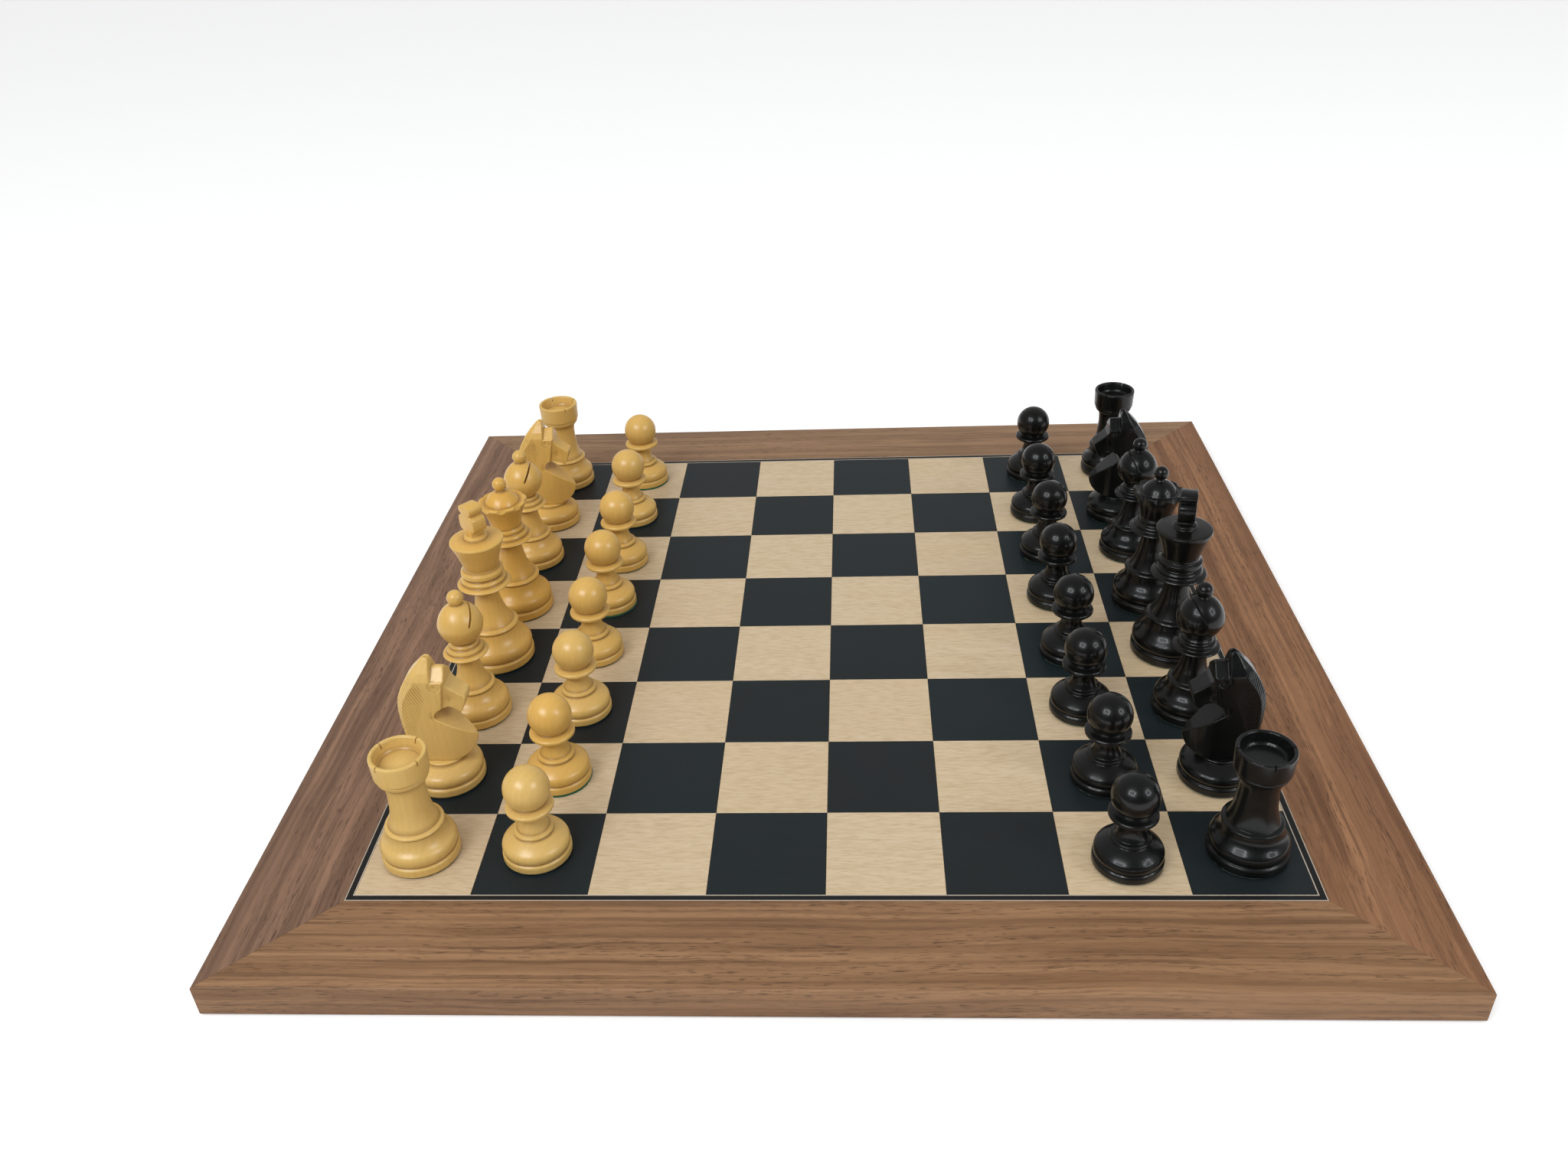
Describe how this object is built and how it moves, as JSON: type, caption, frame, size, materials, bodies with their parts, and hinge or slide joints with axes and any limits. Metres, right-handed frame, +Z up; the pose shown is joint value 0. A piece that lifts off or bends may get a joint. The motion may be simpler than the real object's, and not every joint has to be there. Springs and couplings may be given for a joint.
{
  "type": "chess set with board",
  "caption": "Wooden chess set set out for play on an inlaid board with a mitred frame; each turned or carved piece lifts off its square.",
  "frame": {"origin": "centre of the board's underside", "axes": "+Z up out of the board; +X from White's side to Black's side; +Y from file h towards file a"},
  "size_m": [0.5, 0.5, 0.1082],
  "materials": {
    "walnut": "satin",
    "maple": "satin",
    "black_dyed_veneer": "satin",
    "fibreboard": "matt",
    "boxwood": "satin lacquer",
    "ebonised_wood": "satin lacquer"
  },
  "bodies": {
    "board": {"core_panel": "fibreboard", "backing_veneer": "maple", "rank_strip_1": "maple", "rank_strip_2": "maple", "rank_strip_3": "maple", "rank_strip_4": "maple", "rank_strip_5": "maple", "rank_strip_6": "maple", "rank_strip_7": "maple", "rank_strip_8": "maple", "inlay_band_front": "black_dyed_veneer", "inlay_band_back": "black_dyed_veneer", "inlay_band_left": "black_dyed_veneer", "inlay_band_right": "black_dyed_veneer", "frame_rail_front": "walnut", "frame_rail_back": "walnut", "frame_rail_left": "walnut", "frame_rail_right": "walnut"},
    "white_rook_h": {"white_rook_h": "boxwood"},
    "white_knight_g": {"white_knight_g_base": "boxwood", "white_knight_g_head": "boxwood"},
    "white_bishop_f": {"white_bishop_f": "boxwood"},
    "white_king": {"white_king": "boxwood", "white_king_cross": "boxwood"},
    "white_queen": {"white_queen": "boxwood"},
    "white_bishop_c": {"white_bishop_c": "boxwood"},
    "white_knight_b": {"white_knight_b_base": "boxwood", "white_knight_b_head": "boxwood"},
    "white_rook_a": {"white_rook_a": "boxwood"},
    "white_pawn_h": {"white_pawn_h": "boxwood"},
    "white_pawn_g": {"white_pawn_g": "boxwood"},
    "white_pawn_f": {"white_pawn_f": "boxwood"},
    "white_pawn_e": {"white_pawn_e": "boxwood"},
    "white_pawn_d": {"white_pawn_d": "boxwood"},
    "white_pawn_c": {"white_pawn_c": "boxwood"},
    "white_pawn_b": {"white_pawn_b": "boxwood"},
    "white_pawn_a": {"white_pawn_a": "boxwood"},
    "black_rook_h": {"black_rook_h": "ebonised_wood"},
    "black_knight_g": {"black_knight_g_base": "ebonised_wood", "black_knight_g_head": "ebonised_wood"},
    "black_bishop_f": {"black_bishop_f": "ebonised_wood"},
    "black_king": {"black_king": "ebonised_wood", "black_king_cross": "ebonised_wood"},
    "black_queen": {"black_queen": "ebonised_wood"},
    "black_bishop_c": {"black_bishop_c": "ebonised_wood"},
    "black_knight_b": {"black_knight_b_base": "ebonised_wood", "black_knight_b_head": "ebonised_wood"},
    "black_rook_a": {"black_rook_a": "ebonised_wood"},
    "black_pawn_h": {"black_pawn_h": "ebonised_wood"},
    "black_pawn_g": {"black_pawn_g": "ebonised_wood"},
    "black_pawn_f": {"black_pawn_f": "ebonised_wood"},
    "black_pawn_e": {"black_pawn_e": "ebonised_wood"},
    "black_pawn_d": {"black_pawn_d": "ebonised_wood"},
    "black_pawn_c": {"black_pawn_c": "ebonised_wood"},
    "black_pawn_b": {"black_pawn_b": "ebonised_wood"},
    "black_pawn_a": {"black_pawn_a": "ebonised_wood"}
  },
  "joints": [
    {"name": "white_rook_h_lift", "type": "slide", "parent": "board", "child": "white_rook_h", "axis": [0, 0, 1], "range_m": [0, 0.12]},
    {"name": "white_knight_g_lift", "type": "slide", "parent": "board", "child": "white_knight_g", "axis": [0, 0, 1], "range_m": [0, 0.12]},
    {"name": "white_bishop_f_lift", "type": "slide", "parent": "board", "child": "white_bishop_f", "axis": [0, 0, 1], "range_m": [0, 0.12]},
    {"name": "white_king_lift", "type": "slide", "parent": "board", "child": "white_king", "axis": [0, 0, 1], "range_m": [0, 0.12]},
    {"name": "white_queen_lift", "type": "slide", "parent": "board", "child": "white_queen", "axis": [0, 0, 1], "range_m": [0, 0.12]},
    {"name": "white_bishop_c_lift", "type": "slide", "parent": "board", "child": "white_bishop_c", "axis": [0, 0, 1], "range_m": [0, 0.12]},
    {"name": "white_knight_b_lift", "type": "slide", "parent": "board", "child": "white_knight_b", "axis": [0, 0, 1], "range_m": [0, 0.12]},
    {"name": "white_rook_a_lift", "type": "slide", "parent": "board", "child": "white_rook_a", "axis": [0, 0, 1], "range_m": [0, 0.12]},
    {"name": "white_pawn_h_lift", "type": "slide", "parent": "board", "child": "white_pawn_h", "axis": [0, 0, 1], "range_m": [0, 0.12]},
    {"name": "white_pawn_g_lift", "type": "slide", "parent": "board", "child": "white_pawn_g", "axis": [0, 0, 1], "range_m": [0, 0.12]},
    {"name": "white_pawn_f_lift", "type": "slide", "parent": "board", "child": "white_pawn_f", "axis": [0, 0, 1], "range_m": [0, 0.12]},
    {"name": "white_pawn_e_lift", "type": "slide", "parent": "board", "child": "white_pawn_e", "axis": [0, 0, 1], "range_m": [0, 0.12]},
    {"name": "white_pawn_d_lift", "type": "slide", "parent": "board", "child": "white_pawn_d", "axis": [0, 0, 1], "range_m": [0, 0.12]},
    {"name": "white_pawn_c_lift", "type": "slide", "parent": "board", "child": "white_pawn_c", "axis": [0, 0, 1], "range_m": [0, 0.12]},
    {"name": "white_pawn_b_lift", "type": "slide", "parent": "board", "child": "white_pawn_b", "axis": [0, 0, 1], "range_m": [0, 0.12]},
    {"name": "white_pawn_a_lift", "type": "slide", "parent": "board", "child": "white_pawn_a", "axis": [0, 0, 1], "range_m": [0, 0.12]},
    {"name": "black_rook_h_lift", "type": "slide", "parent": "board", "child": "black_rook_h", "axis": [0, 0, 1], "range_m": [0, 0.12]},
    {"name": "black_knight_g_lift", "type": "slide", "parent": "board", "child": "black_knight_g", "axis": [0, 0, 1], "range_m": [0, 0.12]},
    {"name": "black_bishop_f_lift", "type": "slide", "parent": "board", "child": "black_bishop_f", "axis": [0, 0, 1], "range_m": [0, 0.12]},
    {"name": "black_king_lift", "type": "slide", "parent": "board", "child": "black_king", "axis": [0, 0, 1], "range_m": [0, 0.12]},
    {"name": "black_queen_lift", "type": "slide", "parent": "board", "child": "black_queen", "axis": [0, 0, 1], "range_m": [0, 0.12]},
    {"name": "black_bishop_c_lift", "type": "slide", "parent": "board", "child": "black_bishop_c", "axis": [0, 0, 1], "range_m": [0, 0.12]},
    {"name": "black_knight_b_lift", "type": "slide", "parent": "board", "child": "black_knight_b", "axis": [0, 0, 1], "range_m": [0, 0.12]},
    {"name": "black_rook_a_lift", "type": "slide", "parent": "board", "child": "black_rook_a", "axis": [0, 0, 1], "range_m": [0, 0.12]},
    {"name": "black_pawn_h_lift", "type": "slide", "parent": "board", "child": "black_pawn_h", "axis": [0, 0, 1], "range_m": [0, 0.12]},
    {"name": "black_pawn_g_lift", "type": "slide", "parent": "board", "child": "black_pawn_g", "axis": [0, 0, 1], "range_m": [0, 0.12]},
    {"name": "black_pawn_f_lift", "type": "slide", "parent": "board", "child": "black_pawn_f", "axis": [0, 0, 1], "range_m": [0, 0.12]},
    {"name": "black_pawn_e_lift", "type": "slide", "parent": "board", "child": "black_pawn_e", "axis": [0, 0, 1], "range_m": [0, 0.12]},
    {"name": "black_pawn_d_lift", "type": "slide", "parent": "board", "child": "black_pawn_d", "axis": [0, 0, 1], "range_m": [0, 0.12]},
    {"name": "black_pawn_c_lift", "type": "slide", "parent": "board", "child": "black_pawn_c", "axis": [0, 0, 1], "range_m": [0, 0.12]},
    {"name": "black_pawn_b_lift", "type": "slide", "parent": "board", "child": "black_pawn_b", "axis": [0, 0, 1], "range_m": [0, 0.12]},
    {"name": "black_pawn_a_lift", "type": "slide", "parent": "board", "child": "black_pawn_a", "axis": [0, 0, 1], "range_m": [0, 0.12]}
  ]
}
